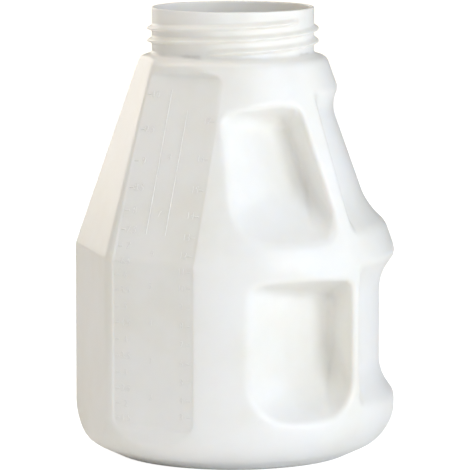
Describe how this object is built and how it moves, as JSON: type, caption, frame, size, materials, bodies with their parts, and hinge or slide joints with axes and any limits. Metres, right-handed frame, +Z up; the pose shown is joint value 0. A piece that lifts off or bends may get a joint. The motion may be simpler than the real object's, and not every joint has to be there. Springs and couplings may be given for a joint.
{
  "type": "oil container",
  "caption": "Tall hollow container with a cone-shaped upper half, a wide threaded mouth, a flat pouring front, side hand pockets and a recessed palm grip at the back.",
  "frame": {"origin": "centre of the footprint's bounding box, on the plane the container stands on", "axes": "+Z up along the neck, -Y towards the pouring front, +Y towards the palm grip, +X to the right of someone holding the grip and facing the front"},
  "size_m": [0.25, 0.2386, 0.346],
  "materials": {
    "container": "satin, milky translucent blow-moulded polyethylene"
  },
  "bodies": {
    "root": {"container": "container"}
  },
  "joints": []
}
